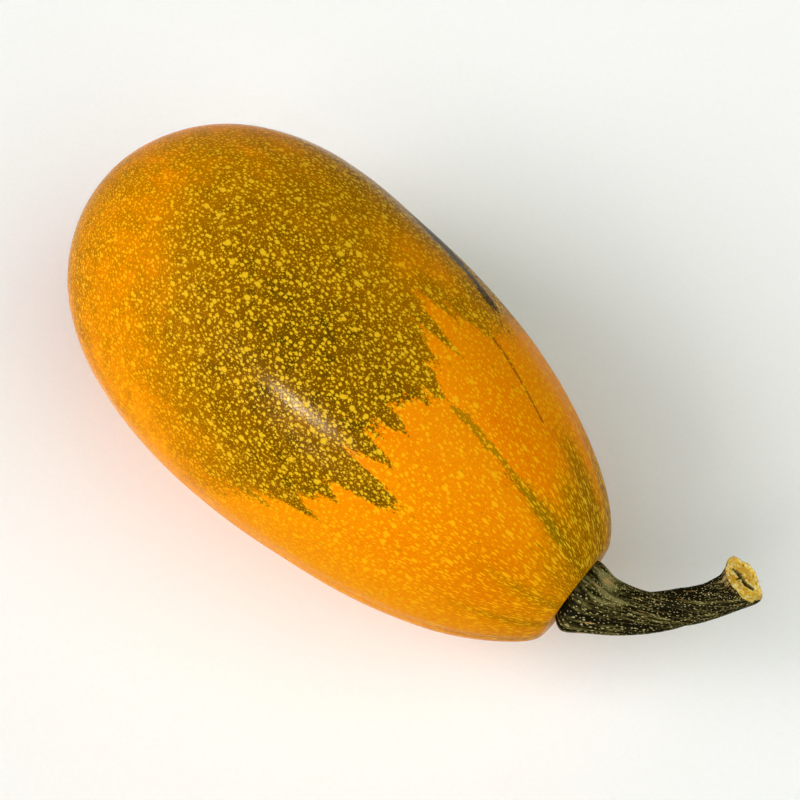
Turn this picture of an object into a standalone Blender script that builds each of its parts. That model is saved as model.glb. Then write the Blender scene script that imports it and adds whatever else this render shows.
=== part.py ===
"""Spaghetti squash: one whole fruit lying on its side, with the dry stem that it was cut with.

Metres, +Z up. The origin is the middle of the flat spot that the fruit rests on, and +X runs along the
fruit from its blossom end to its stem. Angles around the fruit run from +Y over the top to -Y.
"""

import math

import bmesh
import bpy
from mathutils import Matrix, Quaternion, Vector
from mathutils.geometry import interpolate_bezier

# Fruit: a turned body whose outline is two half superellipses, joined where it is widest.
LENGTH = 0.240
RADIUS = 0.0651
WIDEST = 0.0955  # from the blossom end
BLOSSOM_FULLNESS = 2.49
STEM_FULLNESS = 2.04
STEM_END_SUNK = 0.0078  # the blunt end around the stem, below the superellipse's tip
STEM_END_RADIUS = 0.0167
STEM_END_TILT = 0.10  # slope across the blunt end
STEM_END_TILT_RADIUS = 0.025
STEM_END_TILT_SIDE = math.radians(15)  # its lower side
SEGMENTS = 64
HALF_RINGS = 20

# Rest: the axis drops toward the stem until the weight is over the flat spot.
REST_DIP = math.radians(3.68)
REST_ALONG = 0.1130  # place of the weight along the fruit, from the blossom end
FLAT_DEPTH = 0.0009

# Skin: faint grooves along the fruit, deeper toward the stem, and a slight unevenness.
GROOVES = (28, 52, 84, 124, 149, 180, 209, 241, 270, 300, 330, 359)  # degrees around the fruit
GROOVE_HALF_WIDTH = math.radians(5.0)
GROOVE_DEPTH_BLOSSOM = 0.0001
GROOVE_DEPTH_STEM = 0.0007
GROOVE_GROWTH = 1.5
SWAY = 0.0004  # how far the fruit's middle line wanders from straight
SWAY_PERIOD = 0.116
SWAY_START = 0.100
SWAY_SIDE = math.radians(195)
SWELL = 0.0002
SWELL_WAVES = 5
SWELL_SLANT = 4.0

# Blossom scar: a shallow dimple with a corky button.
DIMPLE_DEPTH = 0.0018
DIMPLE_RADIUS = 0.0075
BUTTON_HEIGHT = 0.0012
BUTTON_RADIUS = 0.0035
BUTTON_EDGE = 0.0010
SCAR_RINGS = (0.0020, 0.0030, 0.0040, 0.0058, 0.0085, 0.0125)  # distances from the axis

# Stem: a ridged, twisted stalk on a bent centre line, flared at its foot and at its cut end.
STEM_SEGMENTS = 50
STEM_RINGS = 26
STEM_GAP = 0.0004  # between the fruit's tip and the stem's foot
STEM_BEND = (  # Bezier points of the centre line, from the fruit's stem end
    (0.0002, 0.0017, 0.0019),
    (0.0251, 0.0009, -0.0013),
    (0.0455, 0.0398, 0.0037),
    (0.0430, 0.0403, 0.0160),
)
FOOT_BLEND = 0.012  # length in which the rings turn from the foot's tilt to the centre line
CUT_BLEND = 0.012  # length in which they turn to the cut
CUT_FACING = (0.263, 0.622, 0.737)
FOOT_RADIUS = 0.0131
NECK_RADIUS = 0.0062
FOOT_LENGTH = 0.0185
FOOT_SHARPNESS = 1.42
FOOT_SHARES = (0.3, 0.6, 0.85, 1.0)  # rings of the foot's underside, as shares of its radius
KNUCKLE_HEIGHT = 0.0030  # a swelling on one side of the foot
KNUCKLE_DISTANCE = 0.0042
KNUCKLE_LENGTH = 0.0040
KNUCKLE_SIDE = math.radians(195)
END_FLARE = 0.0026
END_FLARE_LENGTH = 0.0075
RIDGES = 5
RIDGE_DEPTH = 0.20  # share of the stem's radius
RIDGE_DEPTH_FOOT = 0.14
RIDGE_DEPTH_CUT = 0.12
RIDGE_BLEND = 0.3  # share of the stem's length in which the depth changes
RIDGE_ROUNDNESS = 0.9
RIDGE_MEAN = 0.64  # average of the ridges' wave, which keeps the stem's girth
RIDGE_START = math.radians(31.6)
TWIST = math.radians(123)
TWIST_START = 0.25  # share of the stem's length where the ridges begin to twist
END_RINGS = ((0.90, -0.0001), (0.82, -0.0010), (0.45, -0.0004))  # share of the radius, height
END_MIDDLE = -0.0008
SLIT_SIZE = (0.0105, 0.0017, 0.0080)  # length, width, depth
SLIT_TURN = math.radians(210)
SLIT_ASIDE = 0.0010


def clear_scene():
    for item in list(bpy.data.objects):
        bpy.data.objects.remove(item, do_unlink=True)


def material(name, colour, roughness):
    made = bpy.data.materials.new(name)
    made.use_nodes = True
    shader = made.node_tree.nodes["Principled BSDF"]
    shader.inputs["Base Color"].default_value = (*colour, 1.0)
    shader.inputs["Roughness"].default_value = roughness
    shader.inputs["Metallic"].default_value = 0.0
    return made


def skin_material():
    return material("squash_skin", (0.75, 0.27, 0.01), 0.35)


def stem_material():
    return material("stem_bark", (0.045, 0.05, 0.02), 0.75)


def add_object(name, bm, paint):
    bmesh.ops.recalc_face_normals(bm, faces=bm.faces)
    mesh = bpy.data.meshes.new(name)
    bm.to_mesh(mesh)
    bm.free()
    mesh.shade_smooth()
    mesh.set_sharp_from_angle(angle=math.radians(40))
    mesh.materials.append(paint)
    added = bpy.data.objects.new(name, mesh)
    bpy.context.collection.objects.link(added)
    return added


def fruit_axes():
    """Turns the fruit's own axes, with +X along it from the blossom end, into the part's."""
    lowest = max(
        radius * math.cos(REST_DIP) + along * math.sin(REST_DIP)
        for along, radius in (outline(math.radians(turn)) for turn in range(-90, 91))
    )
    place = Vector((-REST_ALONG * math.cos(REST_DIP), 0, lowest - FLAT_DEPTH))
    return Matrix.Translation(place) @ Matrix.Rotation(REST_DIP, 4, "Y")


def outline(turn):
    """Place along the fruit and radius, at an angle from the blossom end (-90 degrees) to the tip (90)."""
    if turn < 0:
        along = WIDEST * (1 - math.sin(-turn) ** (2 / BLOSSOM_FULLNESS))
    else:
        along = WIDEST + (LENGTH - WIDEST) * math.sin(turn) ** (2 / STEM_FULLNESS)
    return along, RADIUS * math.cos(turn)


def tip_along(radius, around):
    """Place along the fruit where its blunt stem end has this radius, at an angle around it."""
    full = WIDEST + (LENGTH - WIDEST) * (1 - (radius / RADIUS) ** 2) ** (1 / STEM_FULLNESS)
    return full - stem_end_offset(radius, around)


def stem_end_offset(radius, around):
    """How far the stem end is flattened and tilted, at a distance from the axis and an angle around it."""
    flat = STEM_END_SUNK * math.exp(-((radius / STEM_END_RADIUS) ** 4))
    slope = STEM_END_TILT * math.exp(-((radius / STEM_END_TILT_RADIUS) ** 4))
    return flat + slope * radius * math.cos(around - STEM_END_TILT_SIDE)


def smooth_step(value):
    held = min(max(value, 0.0), 1.0)
    return held * held * (3 - 2 * held)


def scar_offset(radius):
    """How far the blossom end is sunk along the axis, less the height of its button."""
    dimple = DIMPLE_DEPTH * math.exp(-((radius / DIMPLE_RADIUS) ** 2))
    button = BUTTON_HEIGHT * smooth_step(0.5 + (BUTTON_RADIUS - radius) / BUTTON_EDGE)
    return dimple - button


def skin_offset(along, around):
    """Height of the real skin above the turned body, at full girth."""
    toward_stem = along / LENGTH
    depth = GROOVE_DEPTH_BLOSSOM + (GROOVE_DEPTH_STEM - GROOVE_DEPTH_BLOSSOM) * toward_stem**GROOVE_GROWTH
    groove = 0.0
    for centre in GROOVES:
        away = math.remainder(around - math.radians(centre), 2 * math.pi)
        groove = max(groove, math.exp(-((away / GROOVE_HALF_WIDTH) ** 2)))
    sway = SWAY * math.cos(2 * math.pi * (along - SWAY_START) / SWAY_PERIOD)
    swell = SWELL * math.sin(SWELL_WAVES * around - SWELL_SLANT * toward_stem)
    return sway * math.cos(around - SWAY_SIDE) + swell - depth * groove


def fruit_outline():
    """Points of the half outline, from the blossom end's pole to the tip's."""
    scar_turns = [-math.acos(radius / RADIUS) for radius in SCAR_RINGS]
    step = math.pi / 2 / HALF_RINGS
    turns = [step * count for count in range(-HALF_RINGS, HALF_RINGS + 1)]
    past_scar = [turn for turn in turns if turn > scar_turns[-1] + step / 2]
    return [outline(turn) for turn in [turns[0], *scar_turns, *past_scar]]


def make_fruit():
    bm = bmesh.new()
    points = [bm.verts.new((along, radius, 0)) for along, radius in fruit_outline()]
    edges = [bm.edges.new(pair) for pair in zip(points, points[1:])]
    bmesh.ops.spin(
        bm, geom=points + edges, axis=(1, 0, 0), cent=(0, 0, 0), angle=2 * math.pi, steps=SEGMENTS
    )
    bmesh.ops.remove_doubles(bm, verts=bm.verts, dist=1e-6)
    for vert in bm.verts:
        shape_skin(vert)
    axes = fruit_axes()
    to_fruit = axes.inverted()
    floor_point = to_fruit @ Vector((0, 0, 0))
    floor_normal = to_fruit.to_3x3() @ Vector((0, 0, -1))
    whole = bm.verts[:] + bm.edges[:] + bm.faces[:]
    cut = bmesh.ops.bisect_plane(
        bm, geom=whole, plane_co=floor_point, plane_no=floor_normal, clear_outer=True, dist=1e-7
    )
    rim = [part for part in cut["geom_cut"] if isinstance(part, bmesh.types.BMEdge)]
    bmesh.ops.contextual_create(bm, geom=rim)
    fruit = add_object("fruit", bm, skin_material())
    fruit.matrix_world = axes
    return fruit


def shape_skin(vert):
    """Moves one point of the turned body to the real skin."""
    along, side, height = vert.co
    radius = math.hypot(side, height)
    around = math.atan2(height, side)
    grown = radius + skin_offset(along, around) * radius / RADIUS
    sunk = scar_offset(radius) if along < WIDEST else -stem_end_offset(radius, around)
    vert.co = (along + sunk, grown * math.cos(around), grown * math.sin(around))


def foot_facing(axis):
    """The way that the fruit's tilted stem end faces."""
    sideways = Vector((0, 1, 0))
    lower_side = sideways * math.cos(STEM_END_TILT_SIDE) + axis.cross(sideways) * math.sin(STEM_END_TILT_SIDE)
    return (axis + lower_side * STEM_END_TILT).normalized()


def stem_stations(start_facing):
    """Points along the stem's centre line, each with its distance, the way its ring faces and a normal.

    The rings are square to the stem end's facing at the foot and to the cut at the end, and their normals
    don't twist on their own."""
    points = interpolate_bezier(*(Vector(point) for point in STEM_BEND), STEM_RINGS)
    ahead = points[1:] + [points[-1]]
    behind = [points[0]] + points[:-1]
    tangents = [(after - before).normalized() for after, before in zip(ahead, behind)]
    steps = [(after - before).length for before, after in zip(points, points[1:])]
    length = sum(steps)
    normal = Vector((0, 0, 1)).cross(start_facing).normalized()
    facing = start_facing
    stations = []
    for place, (point, tangent) in enumerate(zip(points, tangents)):
        distance = sum(steps[:place])
        at_foot = 1 - smooth_step(distance / FOOT_BLEND)
        at_cut = smooth_step(1 - (length - distance) / CUT_BLEND)
        blended = start_facing * at_foot + Vector(CUT_FACING) * at_cut + tangent * (1 - at_foot - at_cut)
        turn = facing.rotation_difference(blended.normalized())
        facing = blended.normalized()
        normal = (turn @ normal).normalized()
        stations.append((point, distance, facing, normal))
    return stations


def ridge_share(turn, along_share):
    """Share of the stem's radius at an angle about its centre line: rounded ridges with sharp furrows."""
    twisted = TWIST * smooth_step((along_share - TWIST_START) / (1 - TWIST_START))
    wave = abs(math.cos(RIDGES / 2 * (turn - RIDGE_START - twisted))) ** RIDGE_ROUNDNESS
    at_foot = smooth_step(1 - along_share / RIDGE_BLEND)
    at_cut = smooth_step(1 - (1 - along_share) / RIDGE_BLEND)
    depth = RIDGE_DEPTH
    depth += (RIDGE_DEPTH_FOOT - RIDGE_DEPTH) * at_foot
    depth += (RIDGE_DEPTH_CUT - RIDGE_DEPTH) * at_cut
    return 1 + depth * (wave - RIDGE_MEAN)


def stem_radius(distance, length):
    foot = (FOOT_RADIUS - NECK_RADIUS) * math.exp(-((distance / FOOT_LENGTH) ** FOOT_SHARPNESS))
    flare = END_FLARE * math.exp(-(((length - distance) / END_FLARE_LENGTH) ** 2))
    return NECK_RADIUS + foot + flare


def stem_reach(turn, distance, length):
    """Distance of the bark from the stem's centre line."""
    knuckle = KNUCKLE_HEIGHT * math.exp(-(((distance - KNUCKLE_DISTANCE) / KNUCKLE_LENGTH) ** 2))
    one_side = (0.5 + 0.5 * math.cos(turn - KNUCKLE_SIDE)) ** 2
    return stem_radius(distance, length) * ridge_share(turn, distance / length) + knuckle * one_side


def turned(tangent, normal, turn):
    """The direction at an angle about the stem's centre line."""
    return Quaternion(tangent, turn) @ normal


def stem_turns():
    return [2 * math.pi * count / STEM_SEGMENTS for count in range(STEM_SEGMENTS)]


def on_stem_end(axis, point):
    """The point moved along the fruit to stand just clear of its stem end."""
    across = point - axis * point.dot(axis)
    around = math.atan2(across.dot(axis.cross(Vector((0, 1, 0)))), across.y)
    return across + axis * (tip_along(across.length, around) - tip_along(0, 0) + STEM_GAP)


def foot_rings(axis, station, length):
    """Rings of the foot's underside, which follows the fruit's stem end, from its middle out."""
    start, _, facing, normal = station
    rings = [[on_stem_end(axis, start)]]
    for share in FOOT_SHARES:
        ring = []
        for turn in stem_turns():
            spoke = turned(facing, normal, turn) * stem_reach(turn, 0, length)
            ring.append(on_stem_end(axis, start + spoke * share))
        rings.append(ring)
    return rings


def side_rings(stations, length):
    """Rings of the stalk, from the foot to the cut end."""
    rings = []
    for point, distance, facing, normal in stations:
        ring = []
        for turn in stem_turns():
            ring.append(point + turned(facing, normal, turn) * stem_reach(turn, distance, length))
        rings.append(ring)
    return rings


def end_rings(last_ring, station):
    """Rings of the cut end: a thin standing rim and the sunken pith inside it."""
    point, _, facing, _ = station
    rings = []
    for share, height in END_RINGS:
        rings.append([point + (corner - point) * share + facing * height for corner in last_ring])
    rings.append([point + facing * END_MIDDLE])
    return rings


def skin_rings(bm, rings):
    """Joins rings of points in order. The first and the last ring are single points."""
    loops = [[bm.verts.new(point) for point in ring] for ring in rings]
    for inner, outer in zip(loops, loops[1:]):
        for here in range(STEM_SEGMENTS):
            after = (here + 1) % STEM_SEGMENTS
            corners = (
                inner[here % len(inner)],
                outer[here % len(outer)],
                outer[after % len(outer)],
                inner[after % len(inner)],
            )
            bm.faces.new(dict.fromkeys(corners))


def make_slit_cutter(station, tip):
    """A thin ellipsoid that opens the split in the dried pith."""
    point, _, facing, normal = station
    bm = bmesh.new()
    bmesh.ops.create_uvsphere(bm, u_segments=16, v_segments=8, radius=0.5)
    bmesh.ops.scale(bm, verts=bm.verts, vec=SLIT_SIZE)
    cutter = add_object("slit_cutter", bm, stem_material())
    lengthwise = turned(facing, normal, SLIT_TURN)
    sideways = facing.cross(lengthwise)
    axes = Matrix((lengthwise, sideways, facing)).transposed()
    cutter.matrix_world = Matrix.Translation(tip + point + sideways * SLIT_ASIDE) @ axes.to_4x4()
    cutter.hide_render = True
    cutter.display_type = "WIRE"
    return cutter


def make_stem():
    axes = fruit_axes()
    tip = axes @ Vector((tip_along(0, 0), 0, 0))
    axis = axes.to_3x3() @ Vector((1, 0, 0))
    stations = stem_stations(foot_facing(axis))
    length = stations[-1][1]
    sides = side_rings(stations, length)
    bm = bmesh.new()
    skin_rings(bm, foot_rings(axis, stations[0], length) + sides + end_rings(sides[-1], stations[-1]))
    stem = add_object("stem", bm, stem_material())
    stem.location = tip
    slit = stem.modifiers.new("slit", "BOOLEAN")
    slit.operation = "DIFFERENCE"
    slit.solver = "EXACT"
    slit.object = make_slit_cutter(stations[-1], tip)
    return stem


clear_scene()
make_fruit()
make_stem()
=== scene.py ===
"""Looks of the spaghetti squash: a fine skin and stem over the part's solids, floor, light, camera.

Metres and the part's frame: +X along the fruit toward its stem, +Z up. The fruit's own axes have +X
from its blossom end, and angles around it run from +Y over the top to -Y. The skin's pattern is
described by the place along the fruit and by the angle aside from the middle of the side that faces
the camera, toward -Y.
"""

import math

import bpy
import numpy as np
from mathutils import Matrix, Vector, noise


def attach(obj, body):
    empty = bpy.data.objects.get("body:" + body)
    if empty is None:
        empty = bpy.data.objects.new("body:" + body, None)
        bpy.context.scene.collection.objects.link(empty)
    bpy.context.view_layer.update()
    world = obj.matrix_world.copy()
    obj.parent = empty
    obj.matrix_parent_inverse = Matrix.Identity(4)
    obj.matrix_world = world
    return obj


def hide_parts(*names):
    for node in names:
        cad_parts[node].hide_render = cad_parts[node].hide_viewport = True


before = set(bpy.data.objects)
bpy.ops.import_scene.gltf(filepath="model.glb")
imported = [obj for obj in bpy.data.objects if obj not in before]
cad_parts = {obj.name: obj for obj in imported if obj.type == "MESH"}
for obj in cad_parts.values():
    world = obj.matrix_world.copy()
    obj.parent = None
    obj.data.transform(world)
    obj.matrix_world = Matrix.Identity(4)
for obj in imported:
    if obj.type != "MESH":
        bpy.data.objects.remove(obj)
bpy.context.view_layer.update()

MM = 0.001

# Fruit: the part's own driving dimensions.
LENGTH = 0.240
RADIUS = 0.0651
WIDEST = 0.0955
BLOSSOM_FULLNESS = 2.49
STEM_FULLNESS = 2.04
STEM_END_SUNK = 0.0078
STEM_END_RADIUS = 0.0167
STEM_END_TILT = 0.10
STEM_END_TILT_RADIUS = 0.025
STEM_END_TILT_SIDE = math.radians(15)
REST_DIP = math.radians(3.68)
REST_ALONG = 0.1130
FLAT_DEPTH = 0.0009
GROOVES = (28, 52, 84, 124, 149, 180, 209, 241, 270, 300, 330, 359)
GROOVE_HALF_WIDTH = math.radians(5.0)
GROOVE_DEPTH_BLOSSOM = 0.0001
GROOVE_DEPTH_STEM = 0.0007
GROOVE_GROWTH = 1.5
SWAY = 0.0004
SWAY_PERIOD = 0.116
SWAY_START = 0.100
SWAY_SIDE = math.radians(195)
SWELL = 0.0002
SWELL_WAVES = 5
SWELL_SLANT = 4.0
DIMPLE_DEPTH = 0.0018
DIMPLE_RADIUS = 0.0075
BUTTON_HEIGHT = 0.0012
BUTTON_RADIUS = 0.0035
BUTTON_EDGE = 0.0010

# Fine skin: mesh counts and the small unevenness that only shows close up.
SKIN_SEGMENTS = 400
SKIN_RINGS = 205
SCAR_RINGS = 38
SCAR_REACH = 0.016  # length of outline with the closer rings
OUTLINE_POINTS = 6001
LUMP_SIZE = 0.022
LUMP_HEIGHT = 0.00025

# Stem: the part's own driving dimensions.
STEM_GAP = 0.0004
STEM_BEND = (
    (0.0002, 0.0017, 0.0019),
    (0.0251, 0.0009, -0.0013),
    (0.0455, 0.0398, 0.0037),
    (0.0430, 0.0403, 0.0160),
)
FOOT_BLEND = 0.012
CUT_BLEND = 0.012
CUT_FACING = (0.263, 0.622, 0.737)
FOOT_RADIUS = 0.0131
NECK_RADIUS = 0.0062
FOOT_LENGTH = 0.0185
FOOT_SHARPNESS = 1.42
KNUCKLE_HEIGHT = 0.0030
KNUCKLE_DISTANCE = 0.0042
KNUCKLE_LENGTH = 0.0040
KNUCKLE_SIDE = math.radians(195)
END_FLARE = 0.0026
END_FLARE_LENGTH = 0.0075
RIDGES = 5
RIDGE_DEPTH = 0.20
RIDGE_DEPTH_FOOT = 0.14
RIDGE_DEPTH_CUT = 0.12
RIDGE_BLEND = 0.3
RIDGE_ROUNDNESS = 0.9
RIDGE_MEAN = 0.64
RIDGE_START = math.radians(31.6)
TWIST = math.radians(123)
TWIST_START = 0.25
SLIT_TURN = math.radians(210)
SLIT_ASIDE = 0.0010

# Fine stem: mesh counts and foot.
STALK_SEGMENTS = 300
STALK_RINGS = 230
FOOT_RINGS = 22
CUT_RINGS = 44
FOOT_EDGE = 0.0022  # rounding of the foot's edge
FOOT_EDGE_START = 0.0008
FOOT_TUCK = 0.10
FOOT_TUCK_UNDER = 0.4  # share of it under the foot

# Fine stem: relief of the bark. A grain is the number of features around and their length.
STRIA_HEIGHT = 0.00042
STRIA_GRAIN = (2.6, 0.016)
FIBRE_HEIGHT = 0.00016
FIBRE_GRAIN = (7.5, 0.009)
WART_HEIGHT = 0.00012
WART_GRAIN = (8.0, 0.0011)
RELIEF_AT_FOOT = 0.4
RELIEF_FADE = 0.003

# Fine stem: the torn cut. Its slit and crack are placed from the middle of the cut.
RIM_DROP = 0.0009
RIM_SHARE = 0.14  # share of the radius that drops to the pith
TORN = 0.0006  # how far the cut's edge wanders
TORN_SIZE = 0.22
TORN_SEED = 7
TORN_LENGTH = 0.0012
PITH_ROUGH = 0.0011
PITH_EDGE = 0.2
PITH_NOISES = ((0.0030, 1.0), (0.0011, 0.5), (0.0005, 0.35))  # feature size, strength
PITH_SEED = 4
SLIT_DEPTH = 0.0040
SLIT_LENGTH = 0.0054
SLIT_WIDTH = 0.0009
SLIT_EDGE = 0.0005
# painted shade reaches this far past the slit's edge
SLIT_SHADE_MARGIN = 0.0003
SLIT_WAVE = 0.0006
SLIT_WAVE_LENGTH = 0.0012
SLIT_RAGGED = 0.0005
CRACK_LENGTH = 0.0026
CRACK_WIDTH = 0.00035
CRACK_END = 0.0010
CRACK_ASIDE = 0.0010
CRACK_DOWN = 0.0012
CRACK_SLANT = 0.55
CRACK_RAGGED = 0.0006

# Pattern of the skin: places along in mm and angles aside in degrees. A pair of either is where
# something starts and where it is full.
FACE_AROUND = 104.8
PATCH_END = (  # outline of the green patch toward the stem: aside, along
    (-180, 118), (-150, 128), (-120, 150), (-90, 156), (-62, 160), (-54, 157), (-47, 137),
    (-42, 127), (-33, 134), (-26, 147), (-18, 152), (-9, 149), (2, 147), (12, 146), (24, 150),
    (35, 145), (42, 141), (48, 128), (56, 122), (66, 112), (80, 100), (100, 92), (140, 100),
)
TONGUES = (  # aside, reach along, half width aside, bluntness
    (-36, 151, 2.6, 0.8), (-21, 158, 3.2, 0.8), (-15.5, 156, 2.2, 0.8), (-3, 158, 2.6, 0.6),
    (8.5, 160, 3.0, 0.5), (19, 173, 5.0, 0.3), (30, 153, 2.4, 0.8), (41.5, 152, 2.6, 0.8),
    (-28, 149, 2.0, 0.8), (3.5, 150, 1.5, 0.8), (50, 135, 2.0, 0.8), (-45, 142, 1.8, 0.8),
    (-94, 172, 4.0, 0.7), (-107, 163, 3.0, 0.8), (-121, 170, 5.5, 0.6), (-138, 146, 4.0, 0.8),
    (-152, 150, 5.0, 0.6), (-170, 131, 4.0, 0.8), (72, 122, 3.0, 0.8), (88, 112, 4.0, 0.7),
    (104, 109, 3.5, 0.8), (126, 113, 6.0, 0.6), (146, 116, 4.0, 0.8), (163, 129, 5.0, 0.7),
)
EDGE_SOFTNESS = 1.6
EDGE_SOFTER = ((7.0, -46, 17), (5.0, 54, 15))  # more mm of softness, centre and half width aside
EDGE_SOFTER_FAR = 3.0
FAR_ASIDE = (100, 160)
RISE = (  # aside, then the places along where the green passes each of RISE_AMOUNTS
    (-180, 60, 90, 140, 190), (-120, 45, 62, 90, 150), (-75, 34, 50, 63, 108),
    (-65, 40, 54, 72, 150), (-55, 27, 52, 86, 150), (-45, 16, 49, 74, 140), (-35, 12, 42, 66, 130),
    (-25, 14, 39, 57, 82), (-15, 34, 45, 57, 90), (-5, 35, 48, 62, 92), (5, 40, 57, 77, 90),
    (15, 51, 65, 80, 98), (25, 52, 67, 87, 114), (35, 62, 80, 108, 126), (45, 74, 102, 140, 166),
    (55, 94, 128, 166, 200), (65, 108, 140, 176, 210), (80, 130, 164, 196, 220),
    (120, 110, 140, 180, 210),
)
RISE_AMOUNTS = (0.16, 0.34, 0.54, 0.70)
FIRST_RISE = 24
GREEN_SPOTS = (  # amount, centre and half width along, centre and half width aside
    (0.12, 118, 26, -2, 15), (-0.36, 120, 26, -53, 18), (-0.16, 126, 8, 15, 5),
)
GREEN_BLOSSOM = 0.27
GREEN_BLOSSOM_REACH = 60
GREEN_BLOSSOM_ASIDE = ((-50, -10), (130, 70))
GREEN_LESS = 0.11
GREEN_LESS_ASIDE = (-6, -30)
GREEN_LESS_ALONG = (30, 60)
GREEN_ENDS_ASIDE = (-48, -56)
GREEN_ENDS_ALONG = (134, 172)

SHOULDER_SPOTS = ((0.20, 213, 11, -41, 9), (0.28, 207, 14, -56, 8), (0.18, 212, 14, -21, 5))
SHOULDER_RIM = 0.28
SHOULDER_RIM_ALONG = (206, 232)
SHOULDER_RIM_LESS = 0.13
SHOULDER_RIM_LESS_ASIDE = (-5, 15)
SHOULDER_BANDS = 0.16
SHOULDER_BANDS_ALONG = (185, 220)
SHOULDER_SIDE = 0.13
SHOULDER_SIDE_ALONG = (200, 218)
SHOULDER_SIDE_ASIDE = (-36, 24)  # centre and half width
SHOULDER_FLANK = 0.22
SHOULDER_FLANK_ALONG = (215, 24)  # centre and half width
SHOULDER_FLANK_ASIDE = ((-64, -78), (-130, -100))
DEEP_ORANGE = 0.9
DEEP_ORANGE_ALONG = (212, 22)  # centre and half width
DEEP_ORANGE_ASIDE = ((-12, 18), (150, 90))
PALE_ORANGE = 0.75
PALE_ORANGE_ASIDE = ((20, 70), (200, 140))
CORK_RADIUS = 0.0050
CORK_EDGE = 0.0022

LINES = {  # parts of each line: points as (along, aside), half width aside, length of its ends
    "green_line": (
        (((160, -21), (180, -21.5), (200, -20)), 2.6, 5),
        (((188, -20.5), (204, -20), (222, -19)), 4.2, 5),
    ),
    "dark_line": (
        (((86, -86), (104, -81.5), (114, -78.5), (122, -76), (138, -70.5)), 9.0, 20),
        (((114, -79), (132, -72.5), (144, -69), (153, -66)), 5.5, 12),
    ),
    "red_line": (
        (((148, -54), (162, -53), (176, -50), (190, -47)), 1.2, 5),
        (((138, -70), (146, -66), (156, -61)), 1.4, 5),
    ),
}
LINE_END_BLUNTNESS = 0.7
LINE_STEP = (0.34, 0.62)

# Flecks: they stretch toward the stem and crowd toward the blossom end.
OUTLINE_LENGTH = 0.30
FLECK_STRETCH = 0.48
FLECK_STRETCH_ALONG = (150, 220)
FLECK_CROWDING = 0.7
FLECK_CROWDING_LIMIT = 2.4
FLECKS = (  # scale along, cell size, radius in cells, share of cells with one, strength
    (0.85, 0.0050, 0.19, 0.40, 1.0),
    (0.76, 0.00170, 0.305, 0.92, 1.0),
    (0.70, 0.00086, 0.30, 0.80, 0.60),
)
FLECK_SHAKE = 0.0009
FLECK_SHAKE_SIZE = 0.0012
FLECK_COLOUR_STEP = (0.1, 0.45)
FLECK_PATCH_STEP = (0.0, 0.5)
FLECK_FINENESS = (1.6, 1.0)  # on the orange and on the patch
FLECK_STRENGTH = (0.80, 0.92)  # on the orange and on the patch
SPOT_SPREAD = (0.55, 1.45)  # smallest and largest spot, in mean radii
SPOT_CORE = 0.55  # share of a spot's radius that is full

# Skin: sizes of the noises in metres, their scale along the fruit, and how strongly they show.
RAGGED_SIZE = 0.0024
RAGGED_ALONG = 0.45
RAGGED_EDGE = 14.0
RAGGED_SHOULDER = (0.35, 1.65)
GRAIN_SIZE = 0.0008
GRAIN_EDGE = 13.0
GRAIN_COLOUR = 0.42
ROUGHER = 0.6  # share of each finer noise in a rough one
BLOTCH_SIZE = 0.010
BLOTCH_COLOUR = 0.42
OLIVE_SIZE = 0.0052
OLIVE_ALONG = 0.7
OLIVE_STEP = (0.50, 0.68)
OLIVE_COLOUR = 0.26
WARM_SIZE = 0.024
WARM_ALONG = 0.6
WARM_STEP = (0.48, 0.68)
BRONZE_STEP = (0.0, 0.2)
SCRATCH_SPOTS = (0.010, 0.052, 0.40)  # cell size, radius, share of cells with one
SCRATCH_ALONG = 0.45
SCRATCH_SHAKE = 0.003
SCRATCH_STRENGTH = 0.7
DULL_SIZE = 0.006
SKIN_ROUGHNESS = (0.09, 0.19)
CORK_ROUGHNESS = 0.4
SKIN_IOR = 1.04
PORE_SIZE = 0.00060
SKIN_BUMPS = (0.00002, 0.00004, 0.00002, 0.00012)  # grain, pores, flecks, scratches

# Bark: noises and spots along the stalk.
BARK_TUBE = 0.010  # radius of the even tube that the noises are placed on
BARK_MARKS = (  # scale along the stalk, size, detail, roughness, lightness
    (0.12, 0.0011, 2.0, 0.6, 2.4),
    (0.4, 0.005, 3.0, 0.5, 0.8),
    (0.5, 0.0006, 1.0, 0.5, 0.7),
)
BARK_LIGHT = -1.80
# weight of the crest field, which also holds painted light and painted shade
CREST_AND_PAINTED_LIGHT_SHADE = 0.40
TAN_STREAKS = (0.0015, 0.26, 0.50)  # cell size, radius, share of cells with one
TAN_STREAKS_ALONG = 0.20
TAN_STREAKS_STRENGTH = (0.18, 0.90)  # away from the foot and at it
BARK_SPECKS = (0.00064, 0.29, 0.90)
BARK_SPECKS_ALONG = 0.55
BARK_SPECKS_STRENGTH = 0.85
TAN_PATCH_MARKS = 0.6
TAN_PATCH_STEP = (0.75, 1.0)
TAN_PATCH_STRENGTH = 0.75
CRUMB_SIZE = 0.0011
STAIN_SIZE = 0.0030
STAIN_STEP = (0.50, 0.62)
STAIN_STRENGTH = 0.7
CRUMBLED = 0.5
CUT_STEP = (0.4, 0.6)
BARK_ROUGHNESS = (0.5, 0.8)
BARK_IOR = 1.05
BARK_BUMP = 0.00030
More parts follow.
